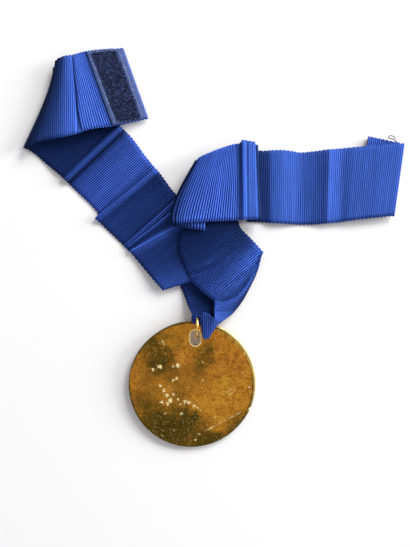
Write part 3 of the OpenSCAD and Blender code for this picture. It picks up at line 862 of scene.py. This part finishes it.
# The loop patch is the soft half of a touch fastener: a woven tape sewn on top
# of the ribbon's left end with pale thread, bare along both sides and covered
# with a pile of small dark nylon loops between them.
TAPE_ALONG = (0.5, 18.2)
TAPE_ACROSS = (0.002, 0.99)
PILE_ALONG = (3.6, 15.8)
PILE_ACROSS = (0.014, 0.975)
TAPE_THICKNESS = 0.5
OVER_CLOTH = CLOTH / 2 + 0.14
STITCHES_BESIDE_PILE = (2.7, 16.6)
STITCHES_AT_SELVAGES = (0.02, 0.972)
STITCHES_ACROSS = (0.05, 0.96, 0.034)
STITCHES_ALONG = (3.9, 16.0, 1.3)
HALF_STITCH = 0.42
TAPE_THREAD_PITCH = 0.45


def above_ribbon(along, across, height):
    """Points over the ribbon's left end at a height over its middle, directions upwards, u and v."""
    u, v = np.meshgrid(across, along[::-1])
    points = RIBBON.place(v, u)[0]
    upward = square_to(points)
    return points + upward * height, upward, u, v


def strip_over(along, across, height):
    """Plain strip over the ribbon's left end, on which threads are grown."""
    points = above_ribbon(along, across, height)[0]
    numbers = np.arange(points[..., 0].size).reshape(points.shape[:2])
    return make_mesh("strip", points.reshape(-1, 3), quads(numbers).tolist())


def growing_tree(name, inputs):
    """A geometry node group that takes a mesh, the given values and a material."""
    inputs = [("Geometry", "Geometry", None)] + inputs + [("Material", "Material", None)]
    return new_group(name, inputs, [("Geometry", "Geometry")], "GeometryNodeTree")


def finish_tree(tree, last, given, out):
    real = put(tree, "GeometryNodeRealizeInstances", {0: last})
    dressed = put(tree, "GeometryNodeSetMaterial", {"Geometry": real, "Material": given["Material"]})
    join(tree, out, {0: dressed})
    return tree


def pile_tree():
    """Small upright loops of thread scattered over the faces of a mesh."""
    tree, given, out = growing_tree("loop pile", [
        ("Density", "Float", 7e6), ("Seed", "Int", 3), ("Loop Radius", "Float", 0.00034),
        ("Thread Radius", "Float", 0.00007), ("Lean", "Float", 0.5)])
    scatter = put(tree, "GeometryNodeDistributePointsOnFaces", {
        "Mesh": given["Geometry"], "Density": given["Density"], "Seed": given["Seed"]})
    arc = put(tree, "GeometryNodeCurveArc", {
        "Resolution": 6, "Radius": given["Loop Radius"], "Start Angle": -0.5, "Sweep Angle": 4.1})
    profile = put(tree, "GeometryNodeCurvePrimitiveCircle", {
        "Resolution": 4, "Radius": given["Thread Radius"]})
    loop = put(tree, "GeometryNodeCurveToMesh", {
        "Curve": arc, "Profile Curve": profile, "Fill Caps": True})
    upright = put(tree, "GeometryNodeTransform", {
        "Geometry": loop, "Translation": (0, 0, 0.00018), "Rotation": (math.pi / 2, 0, 0)})
    lean = given["Lean"]
    back = times(tree, lean, -1.0)
    least, most = combined(tree, back, back), combined(tree, lean, lean, 6.283)
    turn = put(tree, "FunctionNodeRandomValue", {0: least, 1: most, "Seed": given["Seed"]},
               data_type="FLOAT_VECTOR")
    spin = put(tree, "FunctionNodeEulerToRotation", {0: turn})
    both = put(tree, "FunctionNodeRotateRotation", {
        "Rotation": scatter.outputs["Rotation"], "Rotate By": spin}, rotation_space="LOCAL")
    size = put(tree, "FunctionNodeRandomValue", {2: 0.7, 3: 1.25, "Seed": given["Seed"]}, data_type="FLOAT")
    placed = put(tree, "GeometryNodeInstanceOnPoints", {
        "Points": scatter.outputs["Points"], "Instance": upright,
        "Rotation": both, "Scale": size.outputs[1]})
    return finish_tree(tree, placed, given, out)


def stitch_lines():
    """A line of four points for each short stitch, in rows round the pile."""
    ends = [(v, u, 0.0, HALF_STITCH) for v in STITCHES_BESIDE_PILE for u in np.arange(*STITCHES_ACROSS)]
    ends += [(v, u, HALF_STITCH, 0.0) for u in STITCHES_AT_SELVAGES for v in np.arange(*STITCHES_ALONG)]
    places, edges = [], []
    for v, u, reach_v, reach_u in ends:
        reach_u /= RIBBON_WIDTH
        grid, upward, _, _ = above_ribbon(
            np.array((v - reach_v - 0.01, v + reach_v + 0.01)),
            np.array((u - reach_u - 0.0005, u + reach_u + 0.0005)), OVER_CLOTH + TAPE_THICKNESS)
        first, last = grid[0, 0], grid[1, 1]
        start = len(places)
        places += [first + (last - first) * share + upward[0, 0] * 0.02 for share in (0, 0.2, 0.8, 1)]
        edges += [(start + k, start + k + 1) for k in range(3)]
    return make_mesh("lines", places, [], edges=edges)


def stitch_tree():
    """A raised thread with narrow ends along each line of a mesh of lines."""
    tree, given, out = growing_tree("raised stitches", [
        ("Thread Radius", "Float", 0.0002), ("End Radius", "Float", 0.00006)])
    lines = put(tree, "GeometryNodeMeshToCurve", {"Mesh": given["Geometry"]})
    at_end = put(tree, "GeometryNodeCurveEndpointSelection")
    radius = put(tree, "GeometryNodeSwitch", {
        "Switch": at_end, "False": given["Thread Radius"], "True": given["End Radius"]}, input_type="FLOAT")
    profile = put(tree, "GeometryNodeCurvePrimitiveCircle", {"Resolution": 6, "Radius": 1.0})
    beads = put(tree, "GeometryNodeCurveToMesh", {
        "Curve": lines, "Profile Curve": profile,
        "Scale": radius, "Fill Caps": True})
    return finish_tree(tree, beads, given, out)


def grown(name, base, tree, values):
    """The mesh that a node tree makes from a base mesh, as a plain piece of its own."""
    modifier = base.modifiers.new("grow", "NODES")
    modifier.node_group = tree
    names = {item.name: item.identifier for item in tree.interface.items_tree if item.in_out == "INPUT"}
    for key, value in values.items():
        modifier[names[key]] = value
    mesh = bpy.data.meshes.new_from_object(base.evaluated_get(bpy.context.evaluated_depsgraph_get()))
    mesh.name = name
    if mesh.materials[0] is None:
        mesh.materials.pop(index=0)
    base.modifiers.remove(modifier)
    bpy.data.objects.remove(base)
    return new_piece(name, mesh)


def thread_material(name, dark, light, scale):
    material, tree, shader = new_material(name)
    specks = noise(tree, own_place(tree), scale, 2)
    join(tree, shader, {
        "Base Color": blended(tree, stretch(tree, specks, 0.5, 0.72), dark, light),
        "Roughness": 0.6, "Specular IOR Level": 0.3})
    return material


tape_points, tape_up, tape_u, tape_v = above_ribbon(
    np.linspace(*TAPE_ALONG, 20), np.linspace(*TAPE_ACROSS, 40), OVER_CLOTH)
tape_places = np.concatenate([(tape_points + tape_up * high).reshape(-1, 3) for high in (TAPE_THICKNESS, 0)])
tape_numbers = np.arange(tape_u.size).reshape(tape_u.shape)
tape_coords = np.tile(np.stack((tape_v, tape_u * RIBBON_WIDTH), -1).reshape(-1, 2), (2, 1))
tape = make_mesh("loop_tape", tape_places, sheet_faces([tape_numbers], tape_u.size), tape_coords)
# Its second, darker colour is the shade painted between the tape's threads.
tape.data.materials.append(corded_material(
    "woven tape", (0.14, 0.2, 0.46, 1), (0.05, 0.08, 0.24, 1), TAPE_THREAD_PITCH, 0.0))
PILE = pile_tree()
pile_base = strip_over(
    np.linspace(*PILE_ALONG, 12), np.linspace(*PILE_ACROSS, 30), OVER_CLOTH + TAPE_THICKNESS)
pile = grown("loop_pile", pile_base, PILE, {
    "Density": 6.5e6,
    "Material": thread_material("navy nylon loops", (0.003, 0.005, 0.03, 1), (0.042, 0.062, 0.22, 1), 650)})
fuzz_base = strip_over(np.linspace(5.0, 14.0, 8), np.linspace(0.975, 1.01, 3), OVER_CLOTH + 0.3)
fuzz = grown("loose_threads", fuzz_base, PILE, {
    "Density": 3.0e6, "Seed": 8, "Loop Radius": 0.0006, "Thread Radius": 0.00006, "Lean": 1.4,
    "Material": thread_material("pale blue thread", (0.1, 0.16, 0.42, 1), (0.25, 0.32, 0.6, 1), 900)})
thread = grown("patch_stitches", stitch_lines(), stitch_tree(), {
    "Material": thread_material("pale stitches", (0.2, 0.26, 0.46, 1), (0.52, 0.58, 0.78, 1), 700)})
for piece in (tape, pile, fuzz, thread):
    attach(piece, "root")
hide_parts("loop_patch")

# The hook patch is the stiff half of the touch fastener: a matt nylon tape
# covered with rows of small moulded hooks, sewn inside the folded right end,
# which hides it. It keeps the shape of the CAD model.
HOOK_SPACING = 1.3
HOOK_PATCH_TURN = math.radians(-8)


def hook_material():
    material, tree, shader = new_material("matt dark hooks")
    place = own_place(tree)
    turned = separated(tree, put(tree, "ShaderNodeVectorRotate", {
        "Vector": place, "Angle": -HOOK_PATCH_TURN}, rotation_type="Z_AXIS"))
    rows, columns = (
        maths(tree, "SINE", times(tree, part, math.pi / (HOOK_SPACING * MM))) for part in turned[:2])
    hooks = stretch(tree, maths(tree, "ABSOLUTE", times(tree, rows, columns)), 0.2, 0.8)
    light = times(tree, plus(tree, hooks, noise(tree, place, 500, 3)), 0.5)
    join(tree, shader, {
        "Base Color": blended(tree, light, (0.006, 0.009, 0.045, 1), (0.022, 0.032, 0.14, 1)),
        "Roughness": stretch(tree, hooks, 0, 1, 0.85, 0.6)})
    dent(tree, shader, 0.9, 0.0004, hooks)
    return material


dress("hook_patch", hook_material())


# The wire loop is thin bent wire, gone a dull grey-olive, whose ends are caught
# in the folded right end. It keeps the shape of the CAD model.
def wire_material():
    material, tree, shader = new_material("dull olive wire")
    stain = noise(tree, own_place(tree), 900, 4)
    paler = stretch(tree, stain, 0.38, 0.62)
    join(tree, shader, {
        "Base Color": blended(tree, paler, (0.065, 0.066, 0.045, 1), (0.17, 0.165, 0.125, 1)),
        "Roughness": stretch(tree, stain, 0.35, 0.65, 0.6, 0.35), "Metallic": 0.8})
    dent(tree, shader, 0.3, 0.00005, stain)
    return material


dress("wire_loop", wire_material())

# The floor is plain pale paper. Two large soft lights stand at the right, one
# high and one low, and the room gives an even light that is darker overhead.
floor_corners = [(x, y, 0) for x, y in ((-3, -3), (3, -3), (3, 3), (-3, 3))]
floor_mesh = bpy.data.meshes.new("floor")
floor_mesh.from_pydata(floor_corners, [], [(0, 1, 2, 3)])
floor = new_piece("floor", floor_mesh)
floor.location = (0, 0, -0.02 * MM)
paper, paper_tree, shader = new_material("pale paper")
join(paper_tree, shader, {"Base Color": (0.9, 0.9, 0.9, 1), "Roughness": 0.9, "Specular IOR Level": 0.1})
floor_mesh.materials.append(paper)

# Each light: name, width in m, watts, and where it stands in m
LIGHTS = [("key light", 1.1, 40, 1.11, 1.44, 1.05), ("low side light", 0.9, 44, 2.0, 0.55, 0.6)]
for name, size, energy, x, y, z in LIGHTS:
    lamp_data = bpy.data.lights.new(name, "AREA")
    lamp_data.shape = "DISK"
    lamp_data.size = size
    lamp_data.energy = energy
    lamp = new_piece(name, lamp_data)
    lamp.location = (x, y, z)
    lamp.rotation_euler = (math.atan2(math.hypot(x, y), z), 0, math.atan2(y, x) + math.pi / 2)

world = bpy.data.worlds.new("room")
bpy.context.scene.world = world
world.use_nodes = True
room = world.node_tree
direction = put(room, "ShaderNodeTexCoord").outputs["Generated"]
upward = separated(room, direction)[2]
light = blended(room, stretch(room, upward, 0.55, 0.97), (0.92, 0.94, 1.0, 1), (0.86, 0.8, 0.76, 1))
join(room, room.nodes["Background"], {"Color": light, "Strength": 0.54})
bpy.context.scene.view_settings.view_transform = "Standard"
